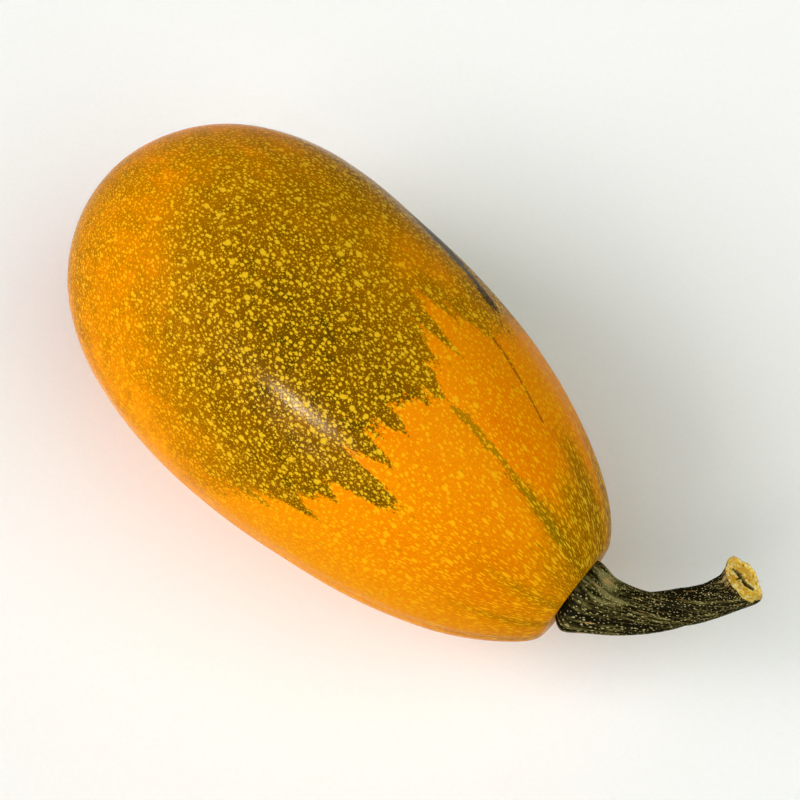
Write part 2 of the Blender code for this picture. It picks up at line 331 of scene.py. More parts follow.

# Bark: sides with painted light, painted shade and tan patches, as directions, and where they lie.
UPPER_WAY = (-0.635089, 0.692592, 0.342020)
LEFT_WAY = (-0.737041, -0.675847, 0.0)
NEAR_FOOT = 0.030
FOOT_TAN = 0.50
FOOT_TAN_PLACE = (0.009, 0.006)  # distance from the foot and half width
FOOT_TAN_SIDE = (0.30, 0.65)
CUT_TAN = 0.55
CUT_TAN_PLACE = (0.002, 0.003)  # distance from the cut and half width
CUT_TAN_SHARPNESS = 1.6
# painted shade, with darker bark, on the upper side toward the cut; painted light on the upper side
# of the foot
SHADED = 1.3
SHADED_PLACE = (0.70, 0.17)  # share of the length and half width
SHADED_SHARPNESS = 1.4
LIT_FOOT = 1.6
LIT_FOOT_PLACE = (0.008, 0.009)
LIT_FOOT_SHARPNESS = 1.5
LIT_FOOT_START = 0.1
CREST_RIDGES = 0.75
CREST_FIBRES = 0.6
CUT_STAIN = 0.42
CUT_STAIN_LENGTH = 0.0012
CUT_SHARE = 0.10
CUT_START = 0.4

# Camera: the photograph's angle, from the middle of its picture plane.
CAMERA_TURN = math.radians(42.52)
CAMERA_HEIGHT = math.radians(70.0)
CAMERA_DISTANCE = 0.8790
CAMERA_SIDEWAYS = 0.02527
CAMERA_UPWARD = 0.01310
LENS_MM = 100.0
SENSOR_MM = 36.0

# Colours as seen, in 8-bit sRGB.
ORANGE = (246, 140, 1)
ORANGE_DEEP = (244, 129, 0)
ORANGE_PALE = (248, 154, 3)
ORANGE_RED = (226, 120, 2)
BRONZE_PALE = (214, 128, 1)
BRONZE = (172, 108, 1)
BRONZE_DEEP = (142, 90, 1)
OLIVE = (116, 77, 1)
GREEN = (84, 60, 2)
FLECK = (239, 192, 30)
FLECK_ON_ORANGE = (255, 186, 17)
LINE_DARK = (30, 24, 6)
LINE_GREEN = (150, 112, 4)
LINE_RED = (120, 56, 6)
SCRATCH = (112, 60, 8)
CORK = (150, 112, 62)
BARK_BLACK = (20, 17, 3)
BARK_DARK = (44, 39, 12)
BARK_OLIVE = (86, 79, 38)
BARK_PALE = (132, 123, 76)
BARK_TAN = (196, 148, 84)
BARK_SPECK = (204, 192, 130)
PITH = (252, 208, 74)
PITH_DEEP = (222, 158, 30)
PITH_DARK = (134, 92, 16)
PITH_PALE = (255, 248, 200)
# painted shade in the slit and crack of the cut
SLIT_PAINTED_SHADE = (44, 30, 4)
FLOOR_TONES = ((244, 245, 243), (249, 250, 248))

PATCH_STOPS = (
    (0.16, BRONZE_PALE), (0.36, BRONZE), (0.62, BRONZE_DEEP), (0.84, OLIVE), (1.0, GREEN),
)
BARK_STOPS = ((0.22, BARK_BLACK), (0.42, BARK_DARK), (0.66, BARK_OLIVE), (0.95, BARK_PALE))
PITH_STOPS = ((0.32, PITH_DARK), (0.44, PITH), (0.52, PITH), (0.62, PITH_PALE))
LINE_LOOKS = {  # colour, raggedness, strength
    "green_line": (LINE_GREEN, 1.5, 0.75),
    "red_line": (LINE_RED, 0.4, 0.65),
    "dark_line": (LINE_DARK, 0.9, 0.88),
}

# Floor and light.
FLOOR_HALF = 3.0
FLOOR_LEVEL = -0.0003
FLOOR_GRAIN = 0.0015
FLOOR_ROUGHNESS = 0.9
FLOOR_SHINE = 0.1
AMBIENT = 0.02
LIGHTS = (  # name, turn, height and width in degrees, strength, colour, whether it only mirrors
    ("left_softbox", -132, 34, 42, 1.72, (1.0, 0.95, 0.985), False),
    ("front_softbox", -110, 55, 50, 0.97, (1.0, 0.95, 0.985), False),
    ("right_softbox", 18, 58, 60, 1.62, (0.92, 1.0, 0.93), False),
    ("sheen", -88.6, 45.0, 4, 22.0, (1.0, 0.92, 0.66), True),
    ("sheen_low", -88.0, 41.5, 4, 9.0, (1.0, 0.92, 0.66), True),
)


def linear(colour):
    """A colour as seen, for a shader's socket."""
    def one(value):
        share = value / 255
        return share / 12.92 if share <= 0.04045 else ((share + 0.055) / 1.055) ** 2.4
    return (*(one(value) for value in colour), 1.0)


def smooth_step(value):
    held = np.clip(value, 0.0, 1.0)
    return held * held * (3 - 2 * held)


def rise(value, start, full):
    """0 at the start and 1 from where it is full, on either side of the start."""
    return smooth_step((value - start) / (full - start))


def between(value, sides):
    return math.prod(rise(value, *side) for side in sides)


def bump_at(value, centre, half_width):
    return np.exp(-(((value - centre) / half_width) ** 2))


def soft_spots(along, aside, rows):
    return sum(
        amount * bump_at(along, place, length) * bump_at(aside, angle, width)
        for amount, place, length, angle, width in rows
    )


# Shape of the fruit.


def fruit_axes():
    """Turns the fruit's own axes into the part's."""
    along, radius = outline(np.radians(np.arange(-90, 91)))
    lowest = np.max(radius * math.cos(REST_DIP) + along * math.sin(REST_DIP))
    place = Vector((-REST_ALONG * math.cos(REST_DIP), 0, lowest - FLAT_DEPTH))
    return Matrix.Translation(place) @ Matrix.Rotation(REST_DIP, 4, "Y")


def outline(turn):
    """Place along and radius, at an angle from the blossom end (-90 degrees) to the tip (90)."""
    swing = np.abs(np.sin(turn))
    blossom = WIDEST * (1 - swing ** (2 / BLOSSOM_FULLNESS))
    stem = WIDEST + (LENGTH - WIDEST) * swing ** (2 / STEM_FULLNESS)
    return np.where(turn < 0, blossom, stem), RADIUS * np.cos(turn)


def stem_end_offset(radius, around):
    flat = STEM_END_SUNK * np.exp(-((radius / STEM_END_RADIUS) ** 4))
    slope = STEM_END_TILT * np.exp(-((radius / STEM_END_TILT_RADIUS) ** 4))
    return flat + slope * radius * np.cos(around - STEM_END_TILT_SIDE)


def tip_along(radius, around):
    """Place along the fruit where its blunt stem end has this radius, at an angle around it."""
    full = WIDEST + (LENGTH - WIDEST) * (1 - (radius / RADIUS) ** 2) ** (1 / STEM_FULLNESS)
    return full - stem_end_offset(radius, around)


def scar_offset(radius):
    dimple = DIMPLE_DEPTH * np.exp(-((radius / DIMPLE_RADIUS) ** 2))
    button = BUTTON_HEIGHT * smooth_step(0.5 + (BUTTON_RADIUS - radius) / BUTTON_EDGE)
    return dimple - button


def groove_share(around):
    """1 in the middle of a groove and 0 away from all."""
    share = np.zeros_like(around)
    for centre in GROOVES:
        away = (around - math.radians(centre) + math.pi) % (2 * math.pi) - math.pi
        share = np.maximum(share, np.exp(-((away / GROOVE_HALF_WIDTH) ** 2)))
    return share


def skin_offset(along, around):
    toward_stem = along / LENGTH
    deepening = (GROOVE_DEPTH_STEM - GROOVE_DEPTH_BLOSSOM) * toward_stem**GROOVE_GROWTH
    sway = SWAY * np.cos(2 * math.pi * (along - SWAY_START) / SWAY_PERIOD)
    swell = SWELL * np.sin(SWELL_WAVES * around - SWELL_SLANT * toward_stem)
    groove = (GROOVE_DEPTH_BLOSSOM + deepening) * groove_share(around)
    return sway * np.cos(around - SWAY_SIDE) + swell - groove


def ring_places():
    """Place along, radius and length of outline at each ring, without the two poles."""
    turns = np.radians(np.linspace(-90, 90, OUTLINE_POINTS))
    along, radius = outline(turns)
    length = np.concatenate([[0], np.cumsum(np.hypot(np.diff(along), np.diff(radius)))])
    near = np.linspace(0, SCAR_REACH, SCAR_RINGS + 1)[1:]
    far = np.linspace(SCAR_REACH, length[-1], SKIN_RINGS + 1)[1:-1]
    stops = np.concatenate([near, far])
    return np.interp(stops, length, along), np.interp(stops, length, radius), stops / length[-1]


def noise_at(points, size, seed=0):
    """Smooth noise from -1 to 1 at each point, with features of this size."""
    shift = Vector((seed * 7.3, seed * 3.1, seed * 5.7))
    return np.array([noise.noise(Vector(point) / size + shift) for point in points.tolist()])


def wrap_mesh(name, first_pole, grid, last_pole, shares):
    """A closed skin over a grid of rings and two poles, with a map that unrolls it for baking."""
    rings, segments, _ = grid.shape
    points = np.concatenate([[first_pole], grid.reshape(-1, 3), [last_pole]])
    here = np.arange(segments)
    after = (here + 1) % segments
    base = 1 + np.arange(rings - 1)[:, None] * segments
    quads = np.stack(
        [base + here, base + segments + here, base + segments + after, base + after], -1
    ).reshape(-1, 4)
    last = 1 + (rings - 1) * segments
    start_fan = np.stack([np.zeros_like(here), 1 + here, 1 + after], -1)
    end_fan = np.stack([np.full_like(here, len(points) - 1), last + after, last + here], -1)
    mesh = bpy.data.meshes.new(name)
    mesh.from_pydata(points.tolist(), [], start_fan.tolist() + quads.tolist() + end_fan.tolist())

    u, w = here / segments, (here + 1) / segments
    middle = (u + w) / 2
    low = np.full_like(u, shares[0])
    high = np.full_like(u, shares[-1])
    start_map = np.stack([middle, 0 * u, u, low, w, low], -1).reshape(-1, 2)
    u2, w2 = (np.broadcast_to(edge, (rings - 1, segments)) for edge in (u, w))
    low2 = np.broadcast_to(shares[:-1, None], u2.shape)
    high2 = np.broadcast_to(shares[1:, None], u2.shape)
    quad_map = np.stack([u2, low2, u2, high2, w2, high2, w2, low2], -1).reshape(-1, 2)
    end_map = np.stack([middle, 0 * u + 1, w, high, u, high], -1).reshape(-1, 2)
    layer = mesh.uv_layers.new(name="OFBake")
    corners = np.concatenate([start_map, quad_map, end_map]).astype(np.float32)
    layer.uv.foreach_set("vector", corners.ravel())
    mesh.shade_smooth()
    return mesh


def set_attribute(mesh, name, values, domain="POINT"):
    kind, key = ("FLOAT", "value") if values.ndim == 1 else ("FLOAT_VECTOR", "vector")
    layer = mesh.attributes.new(name, kind, domain)
    layer.data.foreach_set(key, values.astype(np.float32).ravel())


def placed(points, matrix):
    turn = np.array(matrix.to_3x3())
    return points @ turn.T + np.array(matrix.translation)


def show(name, mesh, material, node):
    made = bpy.data.objects.new(name, mesh)
    bpy.context.collection.objects.link(made)
    mesh.materials.append(material)
    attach(made, "root")
    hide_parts(node)


# Pattern of the skin, as smooth fields over the fruit.


def degrees_aside(around):
    return (np.degrees(around) - FACE_AROUND + 180) % 360 - 180


def around_line(values, aside):
    angle, along = np.array(values, float).T
    return np.interp(aside, angle, along, period=360)


def patch_edge(along, aside):
    """Distance in mm inside the green patch's end toward the stem."""
    end = around_line(PATCH_END, aside)
    reached = end.copy()
    for centre, reach, half_width, bluntness in TONGUES:
        shape = np.clip(1 - np.abs(aside - centre) / half_width, 0, 1) ** bluntness
        reached = np.maximum(reached, end + (reach - end) * shape)
    return reached - along


def edge_softness(aside):
    """Distance in mm over which the patch's end fades, to either side."""
    far = EDGE_SOFTER_FAR * rise(np.abs(aside), *FAR_ASIDE)
    return EDGE_SOFTNESS + far + sum(
        amount * bump_at(aside, angle, width) for amount, angle, width in EDGE_SOFTER
    )


def green_field(along, aside):
    """How green the patch is, from 0 to 1, before its end is cut."""
    turns, *places = np.array(RISE, float).T
    lines = [np.interp(aside, turns, place, period=360) for place in places]
    green = RISE_AMOUNTS[0] * np.clip(1 + (along - lines[0]) / FIRST_RISE, 0, 1)
    for line, after, low, high in zip(lines, lines[1:], RISE_AMOUNTS, RISE_AMOUNTS[1:]):
        green = green + (high - low) * np.clip((along - line) / (after - line), 0, 1)
    blossom = bump_at(along, 0, GREEN_BLOSSOM_REACH) * between(aside, GREEN_BLOSSOM_ASIDE)
    green = np.maximum(green, GREEN_BLOSSOM * blossom)
    ended = rise(aside, *GREEN_ENDS_ASIDE) * rise(along, *GREEN_ENDS_ALONG)
    less = GREEN_LESS * rise(aside, *GREEN_LESS_ASIDE) * rise(along, *GREEN_LESS_ALONG)
    return green * (1 - ended) + soft_spots(along, aside, GREEN_SPOTS) - less


def line_field(along, aside, points, half_width, taper):
    """1 on a line through (along in mm, aside in degrees) points and 0 half a width away."""
    place, angle = np.array(points, float).T
    middle = np.interp(along, place, angle)
    ends = np.clip((along - place[0]) / taper, 0, 1) * np.clip((place[-1] - along) / taper, 0, 1)
    beside = np.clip(1 - np.abs(aside - middle) / half_width, 0, 1)
    return beside * ends**LINE_END_BLUNTNESS


def shoulder_field(along, aside, around):
    """Bronze around the stem: a rim, bands in the grooves, two sides and soft spots."""
    rim_less = SHOULDER_RIM_LESS * rise(aside, *SHOULDER_RIM_LESS_ASIDE)
    rim = (SHOULDER_RIM - rim_less) * rise(along, *SHOULDER_RIM_ALONG)
    bands = SHOULDER_BANDS * groove_share(around) * rise(along, *SHOULDER_BANDS_ALONG)
    side = SHOULDER_SIDE * rise(along, *SHOULDER_SIDE_ALONG) * bump_at(aside, *SHOULDER_SIDE_ASIDE)
    flank = bump_at(along, *SHOULDER_FLANK_ALONG) * between(aside, SHOULDER_FLANK_ASIDE)
    patches = soft_spots(along, aside, SHOULDER_SPOTS)
    return rim + bands + side + SHOULDER_FLANK * flank + patches


def fleck_run(along, radius, shares):
    """Distance along the skin, shortened where flecks stretch and lengthened where they crowd."""
    stretch = 1 - FLECK_STRETCH * rise(along, *FLECK_STRETCH_ALONG)
    crowded = np.minimum(RADIUS / radius, FLECK_CROWDING_LIMIT) ** FLECK_CROWDING
    step = stretch * np.where(along < WIDEST / MM, crowded, 1.0)
    lengths = np.diff(shares) * OUTLINE_LENGTH * (step[1:] + step[:-1]) / 2
    return np.concatenate([[0], np.cumsum(lengths)])


def tube_place(run, around):
    """Where a point lies on an even tube."""
    width = np.repeat(run[:, None], around.size, 1)
    turned = np.broadcast_to(around, width.shape)
    return np.stack([width, RADIUS * np.cos(turned), RADIUS * np.sin(turned)], -1)


def unrolled_corners(run, around):
    """Where each face corner lies on the tube rolled out flat, cut open along the underside."""
    turn = around[1] - around[0]
    start = (around + math.pi / 2) % (2 * math.pi)
    end = start + turn

    def at(ring, angle):
        return np.stack(np.broadcast_arrays(run[ring], RADIUS * angle, 0.0), -1)

    ring = np.arange(len(run) - 1)[:, None]
    quads = np.stack([at(ring, start), at(ring + 1, start), at(ring + 1, end), at(ring, end)], 2)
    middle = (start + end) / 2
    first = np.stack([at(0, middle), at(0, start), at(0, end)], 1)
    last = np.stack([at(-1, middle), at(-1, end), at(-1, start)], 1)
    return np.concatenate([part.reshape(-1, 3) for part in (first, quads, last)])


# Shader building.


def join(tree, socket, value):
    if isinstance(value, bpy.types.NodeSocket):
        tree.links.new(value, socket)
    else:
        socket.default_value = value


def calc(tree, operation, *values):
    made = tree.nodes.new("ShaderNodeMath")
    made.operation = operation
    for socket, value in zip(made.inputs, values):
        join(tree, socket, value)
    return made.outputs[0]


def step_between(tree, value, low, high):
    made = tree.nodes.new("ShaderNodeMapRange")
    made.interpolation_type = "SMOOTHSTEP"
    join(tree, made.inputs["Value"], value)
    join(tree, made.inputs["From Min"], low)
    join(tree, made.inputs["From Max"], high)
    return made.outputs["Result"]


def ranged(tree, share, low, high):
    """From low to high as the share goes from 0 to 1."""
    return calc(tree, "MULTIPLY_ADD", share, high - low, low)


def swayed(tree, value, wave, reach, middle=0.5):
    """The value raised and lowered by a wave around its middle."""
    return calc(tree, "MULTIPLY_ADD", calc(tree, "SUBTRACT", wave, middle), reach, value)


def mixed(tree, share, first, second):
    made = tree.nodes.new("ShaderNodeMix")
    made.data_type = "RGBA"
    join(tree, made.inputs[0], share)
    join(tree, made.inputs[6], first)
    join(tree, made.inputs[7], second)
    return made.outputs[2]


def attribute(tree, name, output="Fac"):
    made = tree.nodes.new("ShaderNodeAttribute")
    made.attribute_name = name
    return made.outputs[output]


def stretched(tree, place, factors):
    made = tree.nodes.new("ShaderNodeVectorMath")
    made.operation = "MULTIPLY"
    join(tree, made.inputs[0], place)
    made.inputs[1].default_value = factors
    return made.outputs[0]


def moved(tree, place, offset, reach):
    """The place pushed about by a colour, such as a noise's, by up to about half the reach."""
    centred = tree.nodes.new("ShaderNodeVectorMath")
    centred.operation = "SUBTRACT"
    join(tree, centred.inputs[0], offset)
    centred.inputs[1].default_value = (0.5, 0.5, 0.5)
    made = tree.nodes.new("ShaderNodeVectorMath")
    made.operation = "MULTIPLY_ADD"
    join(tree, made.inputs[0], centred.outputs[0])
    made.inputs[1].default_value = (reach, reach, reach)
    join(tree, made.inputs[2], place)
    return made.outputs[0]


def cloud(tree, place, size, detail=2.0, roughness=0.5, output="Fac"):
    made = tree.nodes.new("ShaderNodeTexNoise")
    join(tree, made.inputs["Vector"], place)
    made.inputs["Scale"].default_value = 1 / size
    made.inputs["Detail"].default_value = detail
    made.inputs["Roughness"].default_value = roughness
    return made.outputs[output]


def cells(tree, place, size, flat):
    """Distance from the nearest of scattered points, in cell sizes, and a colour drawn for each."""
    made = tree.nodes.new("ShaderNodeTexVoronoi")
    made.voronoi_dimensions = "2D" if flat else "3D"
    join(tree, made.inputs["Vector"], place)
    made.inputs["Scale"].default_value = 1 / size
    return made.outputs["Distance"], made.outputs["Color"]


def ramp(tree, share, stops):
    made = tree.nodes.new("ShaderNodeValToRGB")
    join(tree, made.inputs[0], share)
    marks = made.color_ramp.elements
    while len(marks) < len(stops):
        marks.new(0.5)
    for mark, (place, colour) in zip(marks, stops):
        mark.position = place
        mark.color = linear(colour)
    return made.outputs["Color"]


def bumped(tree, heights):
    """A normal from (height, depth in metres) pairs, one bump over the other."""
    normal = None
    for height, depth in heights:
        made = tree.nodes.new("ShaderNodeBump")
        made.inputs["Strength"].default_value = 1.0
        made.inputs["Distance"].default_value = depth
        join(tree, made.inputs["Height"], height)
        if normal is not None:
            join(tree, made.inputs["Normal"], normal)
        normal = made.outputs["Normal"]
    return normal


def new_material(name):
    made = bpy.data.materials.new(name)
    made.use_nodes = True
    return made, made.node_tree, made.node_tree.nodes["Principled BSDF"]


def spots(tree, place, size, radius, kept, flat=False):
    """Soft-edged spots around scattered points. A share of the points has none; radii differ."""
    distance, draw = cells(tree, place, size, flat)
    parts = tree.nodes.new("ShaderNodeSeparateColor")
    join(tree, parts.inputs[0], draw)
    there = calc(tree, "LESS_THAN", parts.outputs[0], kept)
    smallest, largest = SPOT_SPREAD
    reach = ranged(tree, parts.outputs[1], radius * smallest, radius * largest)
    inner = calc(tree, "MULTIPLY", reach, SPOT_CORE)
    shape = calc(tree, "SUBTRACT", 1.0, step_between(tree, distance, inner, reach))
    return calc(tree, "MULTIPLY", shape, there)


# Skin.


def fleck_layers(tree, place):
    flecks = 0.0
    for along_scale, size, radius, kept, strength in FLECKS:
        scaled = stretched(tree, place, (along_scale, 1, 1))
        layer = spots(tree, scaled, size, radius, kept, flat=True)
        flecks = calc(tree, "MAXIMUM", flecks, calc(tree, "MULTIPLY", layer, strength))
    return flecks


def patch_amount(tree, place, ragged, grain):
    """How far the skin has gone from orange (0) by bronze to green (1)."""
    edge = swayed(tree, attribute(tree, "patch_edge"), ragged, RAGGED_EDGE)
    edge = swayed(tree, edge, grain, GRAIN_EDGE)
    softness = attribute(tree, "edge_softness")
    inside = step_between(tree, edge, calc(tree, "MULTIPLY", softness, -1.0), softness)
    green = attribute(tree, "green")
    mottled = swayed(tree, green, cloud(tree, place, BLOTCH_SIZE, 3.0), BLOTCH_COLOUR)
    olive = cloud(tree, stretched(tree, place, (OLIVE_ALONG, 1, 1)), OLIVE_SIZE, 3.0)
    olive = calc(tree, "MULTIPLY", step_between(tree, olive, *OLIVE_STEP), green)
    patch = calc(tree, "MULTIPLY_ADD", olive, OLIVE_COLOUR, mottled)
    patch = calc(tree, "MULTIPLY", patch, inside)
    uneven = ranged(tree, ragged, *RAGGED_SHOULDER)
    shoulder = calc(tree, "MULTIPLY", attribute(tree, "shoulder"), uneven)
    return swayed(tree, calc(tree, "MAXIMUM", patch, shoulder), grain, GRAIN_COLOUR)


def orange_ground(tree, place):
    warm = cloud(tree, stretched(tree, place, (WARM_ALONG, 1, 1)), WARM_SIZE, 3.0)
    warm = step_between(tree, warm, *WARM_STEP)
    orange = mixed(tree, warm, linear(ORANGE), linear(ORANGE_DEEP))
    orange = mixed(tree, attribute(tree, "deep"), orange, linear(ORANGE_RED))
    return mixed(tree, attribute(tree, "pale"), orange, linear(ORANGE_PALE))


def with_line(tree, under, name, broken):
    """A colour with one of the lines drawn over it, broken up by a wave around 1."""
    colour, raggedness, strength = LINE_LOOKS[name]
    wave = swayed(tree, attribute(tree, name), broken, raggedness, middle=1.0)
    drawn = calc(tree, "MULTIPLY", step_between(tree, wave, *LINE_STEP), strength)
    return mixed(tree, drawn, under, linear(colour))


def skin_material():
    material, tree, shader = new_material("squash_skin_fine")
    place = attribute(tree, "fleck_place", "Vector")
    shake = cloud(tree, place, FLECK_SHAKE_SIZE, output="Color")
    shaken = moved(tree, attribute(tree, "fleck_map", "Vector"), shake, FLECK_SHAKE)
    flecks = fleck_layers(tree, shaken)
    streaky = stretched(tree, place, (RAGGED_ALONG, 1, 1))
    ragged = cloud(tree, streaky, RAGGED_SIZE, roughness=ROUGHER)
    grain = cloud(tree, place, GRAIN_SIZE, roughness=ROUGHER)
    broken = calc(tree, "ADD", ragged, grain)

    amount = patch_amount(tree, place, ragged, grain)
    changed = step_between(tree, amount, *BRONZE_STEP)
    base = mixed(tree, changed, orange_ground(tree, place), ramp(tree, amount, PATCH_STOPS))
    base = with_line(tree, base, "green_line", broken)
    base = with_line(tree, base, "red_line", broken)

    on_green = step_between(tree, amount, *FLECK_COLOUR_STEP)
    fleck_colour = mixed(tree, on_green, linear(FLECK_ON_ORANGE), linear(FLECK))
    on_patch = step_between(tree, amount, *FLECK_PATCH_STEP)
    flecks = calc(tree, "POWER", flecks, ranged(tree, on_patch, *FLECK_FINENESS))
    shown = calc(tree, "MULTIPLY", flecks, ranged(tree, on_patch, *FLECK_STRENGTH))
    base = mixed(tree, shown, base, fleck_colour)
    base = with_line(tree, base, "dark_line", broken)

    scratch_place = stretched(tree, moved(tree, place, shake, SCRATCH_SHAKE), (SCRATCH_ALONG, 1, 1))
    scratches = spots(tree, scratch_place, *SCRATCH_SPOTS)
    scratched = calc(tree, "MULTIPLY", scratches, SCRATCH_STRENGTH)
    base = mixed(tree, scratched, base, linear(SCRATCH))
    cork = attribute(tree, "cork")
    base = mixed(tree, cork, base, linear(CORK))
    join(tree, shader.inputs["Base Color"], base)

    roughness = ranged(tree, cloud(tree, place, DULL_SIZE, 3.0), *SKIN_ROUGHNESS)
    roughness = calc(tree, "MULTIPLY_ADD", cork, CORK_ROUGHNESS, roughness)
    join(tree, shader.inputs["Roughness"], roughness)
    shader.inputs["IOR"].default_value = SKIN_IOR
    pores = cloud(tree, place, PORE_SIZE, 1.0)
    reliefs = zip((grain, pores, flecks, scratches), SKIN_BUMPS)
    join(tree, shader.inputs["Normal"], bumped(tree, reliefs))
    return material


def make_skin():
    along, radius, shares = ring_places()
    around = np.arange(SKIN_SEGMENTS) * 2 * math.pi / SKIN_SEGMENTS
    s, a = np.meshgrid(along, around, indexing="ij")
    r = np.repeat(radius[:, None], SKIN_SEGMENTS, 1)
    turned = np.stack([s, r * np.cos(a), r * np.sin(a)], -1)
    lumps = noise_at(turned.reshape(-1, 3), LUMP_SIZE).reshape(s.shape) * LUMP_HEIGHT
    grown = r + (skin_offset(s, a) + lumps) * r / RADIUS
    sunk = np.where(s < WIDEST, scar_offset(r), -stem_end_offset(r, a))
    grid = np.stack([s + sunk, grown * np.cos(a), grown * np.sin(a)], -1)
    axes = fruit_axes()
    first = placed(np.array([[float(scar_offset(0.0)), 0, 0]]), axes)[0]
    last = placed(np.array([[float(tip_along(0.0, 0.0)), 0, 0]]), axes)[0]
    world = placed(grid.reshape(-1, 3), axes).reshape(grid.shape)
    world[..., 2] = np.maximum(world[..., 2], 0)
    mesh = wrap_mesh("squash_skin", first, world, last, shares)

    def with_poles(field):
        body = field.reshape(-1, *field.shape[2:])
        return np.concatenate([body[:1], body, body[-1:]])

    s_mm, aside = s / MM, degrees_aside(a)
    run = fleck_run(along / MM, radius, shares)
    set_attribute(mesh, "fleck_map", unrolled_corners(run, around), "CORNER")
    fields = {
        "fleck_place": tube_place(run, around),
        "patch_edge": patch_edge(s_mm, aside),
        "edge_softness": edge_softness(aside),
        "green": green_field(s_mm, aside),
        "shoulder": shoulder_field(s_mm, aside, a),
        "deep": DEEP_ORANGE * bump_at(s_mm, *DEEP_ORANGE_ALONG) * between(aside, DEEP_ORANGE_ASIDE),
        "pale": PALE_ORANGE * between(aside, PALE_ORANGE_ASIDE),
        "cork": smooth_step((CORK_RADIUS - r) / CORK_EDGE) * (s < WIDEST),
    }
    for name, parts in LINES.items():
        fields[name] = np.maximum(*(line_field(s_mm, aside, *part) for part in parts))
    for name, field in fields.items():
        set_attribute(mesh, name, with_poles(field))
    show("squash_skin", mesh, skin_material(), "fruit")


# Shape of the stem.


def foot_facing(axis):
    """The way that the fruit's tilted stem end faces."""
    sideways = np.array((0, 1, 0))
    other_way = np.cross(axis, sideways)
    lower_side = sideways * math.cos(STEM_END_TILT_SIDE) + other_way * math.sin(STEM_END_TILT_SIDE)
    facing = axis + lower_side * STEM_END_TILT
    return facing / np.linalg.norm(facing)


def stem_stations(start_facing):
    """Points along the stem's centre line, with distances, the way each ring faces and normals."""
    start, first, second, end = (np.array(point) for point in STEM_BEND)
    t = np.linspace(0, 1, STALK_RINGS)[:, None]
    near_start = (1 - t) ** 3 * start + 3 * (1 - t) ** 2 * t * first
    points = near_start + 3 * (1 - t) * t**2 * second + t**3 * end
    tangents = np.gradient(points, axis=0)
    tangents /= np.linalg.norm(tangents, axis=1, keepdims=True)
    steps = np.linalg.norm(np.diff(points, axis=0), axis=1)
    distances = np.concatenate([[0], np.cumsum(steps)])
    at_foot = 1 - smooth_step(distances / FOOT_BLEND)[:, None]
    at_cut = smooth_step(1 - (distances[-1] - distances) / CUT_BLEND)[:, None]
    facings = start_facing * at_foot + np.array(CUT_FACING) * at_cut
    facings += tangents * (1 - at_foot - at_cut)
    facings /= np.linalg.norm(facings, axis=1, keepdims=True)
    facing = Vector(start_facing)
    normal = Vector((0, 0, 1)).cross(facing).normalized()
    normals = []
    for row in facings:
        turn = facing.rotation_difference(Vector(row))
        facing = Vector(row)
        normal = (turn @ normal).normalized()
        normals.append(normal[:])
    return points, distances, facings, np.array(normals)


def ridge_wave(turn, along_share):
    """1 on the crest of a ridge and 0 in a furrow."""
    crest = RIDGE_START + twist_at(along_share)
    return np.abs(np.cos(RIDGES / 2 * (turn - crest))) ** RIDGE_ROUNDNESS


def twist_at(along_share):
    return TWIST * smooth_step((along_share - TWIST_START) / (1 - TWIST_START))


def ridge_share(turn, along_share):
    at_foot = smooth_step(1 - along_share / RIDGE_BLEND)
    at_cut = smooth_step(1 - (1 - along_share) / RIDGE_BLEND)
    less_at_foot = (RIDGE_DEPTH_FOOT - RIDGE_DEPTH) * at_foot
    less_at_cut = (RIDGE_DEPTH_CUT - RIDGE_DEPTH) * at_cut
    depth = RIDGE_DEPTH + less_at_foot + less_at_cut
    return 1 + depth * (ridge_wave(turn, along_share) - RIDGE_MEAN)


def stem_radius(distance, length):
    foot = (FOOT_RADIUS - NECK_RADIUS) * np.exp(-((distance / FOOT_LENGTH) ** FOOT_SHARPNESS))
    flare = END_FLARE * np.exp(-(((length - distance) / END_FLARE_LENGTH) ** 2))
    return NECK_RADIUS + foot + flare


def stem_reach(turn, distance, length):
    """Distance of the bark from the stem's centre line."""
    knuckle = KNUCKLE_HEIGHT * np.exp(-(((distance - KNUCKLE_DISTANCE) / KNUCKLE_LENGTH) ** 2))
    one_side = (0.5 + 0.5 * np.cos(turn - KNUCKLE_SIDE)) ** 2
    return stem_radius(distance, length) * ridge_share(turn, distance / length) + knuckle * one_side


def on_stem_end(axis, points):
    """The points moved along the fruit to stand just clear of its stem end."""
    across = points - axis * (points @ axis)[..., None]
    around = np.arctan2(across @ np.cross(axis, (0, 1, 0)), across[..., 1])
    drop = tip_along(np.linalg.norm(across, axis=-1), around) - tip_along(0.0, 0.0) + STEM_GAP
    return across + axis * drop[..., None]


def stalk_noise(turn, distance, grain, seed):
    features, length = grain
    places = np.stack([np.cos(turn) * features, np.sin(turn) * features, distance / length], -1)
    return noise_at(places.reshape(-1, 3), 1.0, seed).reshape(turn.shape)


def bark_reach(turn, distance, length):
    """Distance of the fine bark from the centre line, and its fibres.

    Long striae and fibres follow the twist. The foot's edge is rounded and the cut's edge is torn.
    """
    fixed = turn - twist_at(distance / length)
    striae = stalk_noise(fixed, distance, STRIA_GRAIN, 1)
    fibres = stalk_noise(fixed, distance, FIBRE_GRAIN, 2)
    warts = np.maximum(stalk_noise(turn, distance, WART_GRAIN, 3), 0)
    relief = STRIA_HEIGHT * striae + FIBRE_HEIGHT * fibres + WART_HEIGHT * warts
    shown = RELIEF_AT_FOOT + (1 - RELIEF_AT_FOOT) * smooth_step(distance / RELIEF_FADE)
    tuck = 1 - FOOT_TUCK * np.exp(-(distance + FOOT_EDGE_START) / FOOT_EDGE)
    ring = np.stack([np.cos(turn), np.sin(turn), 0 * turn], -1)
    torn = TORN * noise_at(ring.reshape(-1, 3), TORN_SIZE, TORN_SEED).reshape(turn.shape)
    torn = torn * np.exp(-(length - distance) / TORN_LENGTH)
    return stem_reach(turn, distance, length) * tuck + relief * shown + torn, fibres


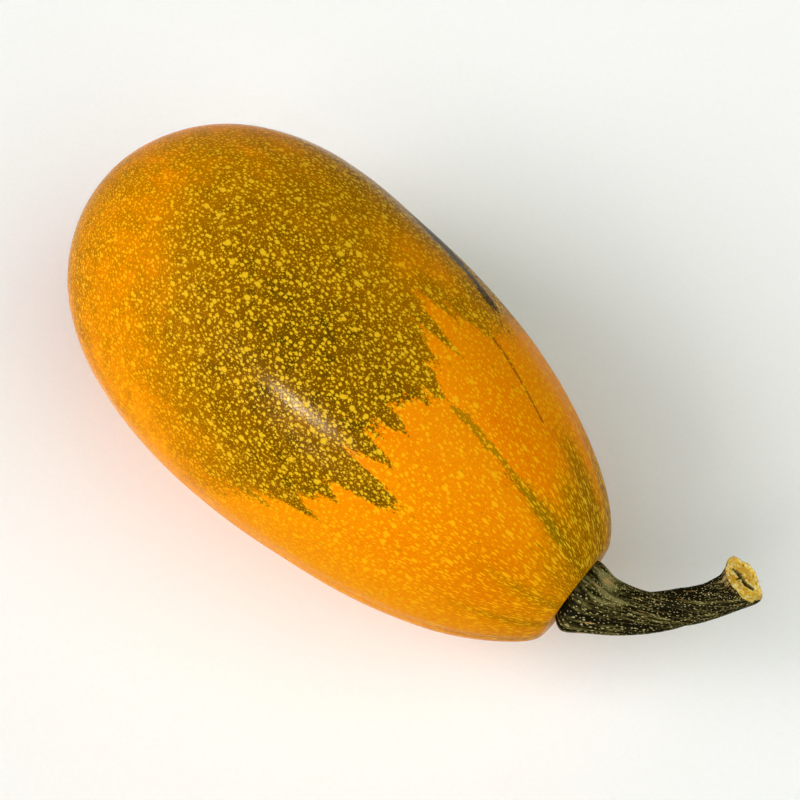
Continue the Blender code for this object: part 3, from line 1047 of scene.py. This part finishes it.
def cut_height(across, up, share):
    """Height of the torn cut, with a thin standing skin, rough pith and a slit, and its painted
    shade.
    """
    points = np.stack([across, up, 0 * across], -1).reshape(-1, 3)
    rough = sum(
        strength * noise_at(points, size, seed)
        for seed, (size, strength) in enumerate(PITH_NOISES, PITH_SEED)
    ).reshape(across.shape)
    line = np.abs(up + SLIT_WAVE * np.sin(across / SLIT_WAVE_LENGTH) + SLIT_RAGGED * rough)
    width = SLIT_WIDTH * np.sqrt(np.clip(1 - (across / SLIT_LENGTH) ** 2, 0, 1))
    slit = smooth_step(0.5 + (width - line) / SLIT_EDGE)
    crack_line = np.abs(across + CRACK_ASIDE - CRACK_SLANT * up + CRACK_RAGGED * rough)
    crack_width = CRACK_WIDTH * smooth_step((CRACK_LENGTH - np.abs(up + CRACK_DOWN)) / CRACK_END)
    crack = smooth_step(0.5 + (crack_width - crack_line) / SLIT_EDGE) * (crack_width > 0)
    opened = np.maximum(slit, crack)
    # painted shade fills the slit and crack and reaches a little past the slit's edge
    slit_wall_shade = smooth_step(0.5 + (width + SLIT_SHADE_MARGIN - line) / SLIT_EDGE) * (width > 0)
    sunk = RIM_DROP * smooth_step((1 - share) / RIM_SHARE)
    pith = PITH_ROUGH * rough * smooth_step((1 - share) / PITH_EDGE)
    return pith - sunk - SLIT_DEPTH * opened, np.maximum(opened, slit_wall_shade)


def cut_face(middle, spokes, facing, normal):
    """Rings of the cut from its edge inward, their shares of its radius, and their painted shade.
    """
    shares = 1 - np.arange(1, CUT_RINGS + 1) / (CUT_RINGS + 1)
    share = np.repeat(shares[:, None], STALK_SEGMENTS, 1)
    slit_way = math.cos(SLIT_TURN) * normal + math.sin(SLIT_TURN) * np.cross(facing, normal)
    other_way = np.cross(facing, slit_way)
    flat = spokes[None] * share[..., None]
    height, dark = cut_height(flat @ slit_way, flat @ other_way - SLIT_ASIDE, share)
    return middle + flat + facing * height[..., None], share, dark


def bark_material():
    material, tree, shader = new_material("stem_bark_fine")
    place = attribute(tree, "bark_place", "Vector")
    plain = tree.nodes.new("ShaderNodeTexCoord").outputs["Object"]
    # lightness: ridge crests and fibres, painted light on the upper foot and painted shade on the
    # upper side toward the cut
    light = calc(tree, "MULTIPLY_ADD", attribute(tree, "crest"), CREST_AND_PAINTED_LIGHT_SHADE, BARK_LIGHT)
    marks = []
    for along_scale, size, detail, roughness, lightness in BARK_MARKS:
        scaled = stretched(tree, place, (1, 1, along_scale))
        marks.append(cloud(tree, scaled, size, detail, roughness))
        light = calc(tree, "MULTIPLY_ADD", marks[-1], lightness, light)
    long_marks, broad, _ = marks
    base = ramp(tree, light, BARK_STOPS)

    streak_place = stretched(tree, place, (1, 1, TAN_STREAKS_ALONG))
    strength = ranged(tree, attribute(tree, "near_foot"), *TAN_STREAKS_STRENGTH)
    streaks = calc(tree, "MULTIPLY", spots(tree, streak_place, *TAN_STREAKS), strength)
    base = mixed(tree, streaks, base, linear(BARK_TAN))
    specks = spots(tree, stretched(tree, place, (1, 1, BARK_SPECKS_ALONG)), *BARK_SPECKS)
    specks = calc(tree, "MULTIPLY", specks, BARK_SPECKS_STRENGTH)
    base = mixed(tree, specks, base, linear(BARK_SPECK))
    patches = calc(tree, "MULTIPLY_ADD", long_marks, TAN_PATCH_MARKS, attribute(tree, "tan_patch"))
    patches = step_between(tree, patches, *TAN_PATCH_STEP)
    patches = calc(tree, "MULTIPLY", patches, TAN_PATCH_STRENGTH)
    base = mixed(tree, patches, base, linear(BARK_TAN))

    crumbs = cloud(tree, plain, CRUMB_SIZE, 3.0, ROUGHER)
    stained = step_between(tree, cloud(tree, plain, STAIN_SIZE), *STAIN_STEP)
    stained = calc(tree, "MULTIPLY", stained, STAIN_STRENGTH)
    pith = mixed(tree, stained, ramp(tree, crumbs, PITH_STOPS), linear(PITH_DEEP))
    # painted shade in the slit and crack of the cut
    pith = mixed(tree, attribute(tree, "slit"), pith, linear(SLIT_PAINTED_SHADE))
    crumbled = swayed(tree, attribute(tree, "cut"), crumbs, CRUMBLED)
    base = mixed(tree, step_between(tree, crumbled, *CUT_STEP), base, pith)
    join(tree, shader.inputs["Base Color"], base)
    join(tree, shader.inputs["Roughness"], ranged(tree, broad, *BARK_ROUGHNESS))
    shader.inputs["IOR"].default_value = BARK_IOR
    reliefs = ((long_marks, BARK_BUMP), (crumbs, BARK_BUMP))
    join(tree, shader.inputs["Normal"], bumped(tree, reliefs))
    return material


def bark_fields(turn, distance, length, directions, fibres, share, slit):
    """Each marking's values at the foot, along the stalk, over the cut and in its middle, painted
    light and shade among them.
    """
    upper, leftward = directions @ np.array(UPPER_WAY), directions @ np.array(LEFT_WAY)
    from_cut = length - distance
    tan_patch = FOOT_TAN * bump_at(distance, *FOOT_TAN_PLACE) * rise(upper, *FOOT_TAN_SIDE)
    tan_side = smooth_step(leftward * CUT_TAN_SHARPNESS)
    tan_patch += CUT_TAN * bump_at(from_cut, *CUT_TAN_PLACE) * tan_side
    # painted shade, with darker bark, on the upper side toward the cut, and painted light on the
    # upper side of the foot
    shaded = smooth_step(upper * SHADED_SHARPNESS) * bump_at(distance / length, *SHADED_PLACE)
    lit_side = smooth_step(upper * LIT_FOOT_SHARPNESS + LIT_FOOT_START)
    lit_foot = lit_side * bump_at(distance, *LIT_FOOT_PLACE)
    crest = CREST_RIDGES * ridge_wave(turn, distance / length) + CREST_FIBRES * fibres
    crest += LIT_FOOT * lit_foot - SHADED * shaded
    cut_edge = CUT_STAIN * np.exp(-(from_cut / CUT_STAIN_LENGTH))
    cut = smooth_step((1 - share) / CUT_SHARE + CUT_START)
    return {
        "near_foot": (1.0, 1 - smooth_step(distance / NEAR_FOOT), 0 * share, 0.0),
        "crest": (0.0, crest, 0 * share, 0.0),
        "tan_patch": (0.0, tan_patch, 0 * share, 0.0),
        "cut": (0.0, cut_edge, cut, 1.0),
        # painted shade in the slit and crack, on the cut only
        "slit": (0.0, 0 * distance, slit, 1.0),
    }


def bark_places(turn, distance, length):
    """Where each point lies on an even tube that follows the twist, with one for either pole."""
    fixed = turn - twist_at(distance / length)
    tube = np.stack([BARK_TUBE * np.cos(fixed), BARK_TUBE * np.sin(fixed), distance], -1)
    foot, cut = np.repeat(tube[:1], FOOT_RINGS, 0), np.repeat(tube[-1:], CUT_RINGS, 0)
    places = np.concatenate([foot, tube, cut]).reshape(-1, 3)
    return np.concatenate([places[:1], places, places[-1:]])


def make_stalk():
    axes = fruit_axes()
    tip = np.array(axes @ Vector((float(tip_along(0.0, 0.0)), 0, 0)))
    axis = np.array(axes.to_3x3() @ Vector((1, 0, 0)))
    points, distances, facings, normals = stem_stations(foot_facing(axis))
    length = distances[-1]
    turns = np.arange(STALK_SEGMENTS) * 2 * math.pi / STALK_SEGMENTS
    directions = (
        np.cos(turns)[None, :, None] * normals[:, None]
        + np.sin(turns)[None, :, None] * np.cross(facings, normals)[:, None]
    )
    turn, distance = np.meshgrid(turns, distances)
    reach, fibres = bark_reach(turn, distance, length)
    side = points[:, None] + directions * reach[..., None]

    foot_shares = (np.arange(1, FOOT_RINGS + 1) / FOOT_RINGS)[:, None]
    foot_reach = foot_shares * reach[0][None] * (1 - FOOT_TUCK_UNDER * FOOT_TUCK)
    foot = on_stem_end(axis, points[0] + directions[0][None] * foot_reach[..., None])
    foot_middle = on_stem_end(axis, points[0])
    cap, share, slit = cut_face(points[-1], side[-1] - points[-1], facings[-1], normals[-1])
    cap_middle = cap[-1].mean(0)

    grid = np.concatenate([foot, side, cap]) + tip
    rings = np.concatenate([[foot_middle + tip], grid[:, 0], [cap_middle + tip]])
    run = np.cumsum(np.linalg.norm(np.diff(rings, axis=0), axis=1))
    mesh = wrap_mesh("stem_stalk", foot_middle + tip, grid, cap_middle + tip, run[:-1] / run[-1])
    set_attribute(mesh, "bark_place", bark_places(turn, distance, length))
    fields = bark_fields(turn, distance, length, directions, fibres, share, slit)
    for name, (foot_value, side_field, cap_field, last_value) in fields.items():
        foot_field = np.full((FOOT_RINGS, STALK_SEGMENTS), foot_value)
        body = np.concatenate([foot_field, side_field, cap_field]).ravel()
        set_attribute(mesh, name, np.concatenate([[foot_value], body, [last_value]]))
    show("stem_stalk", mesh, bark_material(), "stem")


# Floor, light and camera.


def make_floor():
    mesh = bpy.data.meshes.new("floor")
    sides = ((-1, -1), (1, -1), (1, 1), (-1, 1))
    corners = [(x * FLOOR_HALF, y * FLOOR_HALF, FLOOR_LEVEL) for x, y in sides]
    mesh.from_pydata(corners, [], [(0, 1, 2, 3)])
    material, tree, shader = new_material("floor_pale")
    place = tree.nodes.new("ShaderNodeTexCoord").outputs["Object"]
    tone = mixed(tree, cloud(tree, place, FLOOR_GRAIN), *map(linear, FLOOR_TONES))
    join(tree, shader.inputs["Base Color"], tone)
    shader.inputs["Roughness"].default_value = FLOOR_ROUGHNESS
    shader.inputs["Specular IOR Level"].default_value = FLOOR_SHINE
    mesh.materials.append(material)
    floor = bpy.data.objects.new("floor", mesh)
    bpy.context.collection.objects.link(floor)


def add_sun(name, turn, height, width, strength, colour, mirrored):
    """A distant light at a turn and height in degrees, and as wide in the sky as the width."""
    data = bpy.data.lights.new(name, "SUN")
    data.angle = math.radians(width)
    data.energy = strength
    data.color = colour
    lamp = bpy.data.objects.new(name, data)
    bpy.context.collection.objects.link(lamp)
    turn, height = math.radians(turn), math.radians(height)
    flat = math.cos(height)
    toward = Vector((flat * math.cos(turn), flat * math.sin(turn), math.sin(height)))
    lamp.rotation_euler = toward.to_track_quat("Z", "Y").to_euler()
    lamp.visible_glossy = mirrored
    lamp.visible_diffuse = not mirrored


def make_lights():
    world = bpy.data.worlds.new("studio")
    world.use_nodes = True
    background = world.node_tree.nodes["Background"]
    background.inputs["Color"].default_value = (1.0, 1.0, 1.0, 1.0)
    background.inputs["Strength"].default_value = AMBIENT
    bpy.context.scene.world = world
    for light in LIGHTS:
        add_sun(*light)


def make_camera():
    right = Vector((math.cos(CAMERA_TURN), math.sin(CAMERA_TURN), 0))
    away = Vector((-math.sin(CAMERA_TURN), math.cos(CAMERA_TURN), 0))
    up = Vector((0, 0, 1))
    back = up * math.sin(CAMERA_HEIGHT) - away * math.cos(CAMERA_HEIGHT)
    upward = away * math.sin(CAMERA_HEIGHT) + up * math.cos(CAMERA_HEIGHT)
    data = bpy.data.cameras.new("camera")
    data.lens = LENS_MM
    data.sensor_width = SENSOR_MM
    data.sensor_fit = "HORIZONTAL"
    camera = bpy.data.objects.new("camera", data)
    bpy.context.collection.objects.link(camera)
    place = right * CAMERA_SIDEWAYS + upward * CAMERA_UPWARD + back * CAMERA_DISTANCE
    turn = Matrix((right, upward, back)).transposed().to_4x4()
    camera.matrix_world = Matrix.Translation(place) @ turn
    bpy.context.scene.camera = camera


make_camera()
make_lights()
make_floor()
make_skin()
make_stalk()
bpy.context.scene.view_settings.view_transform = "Standard"
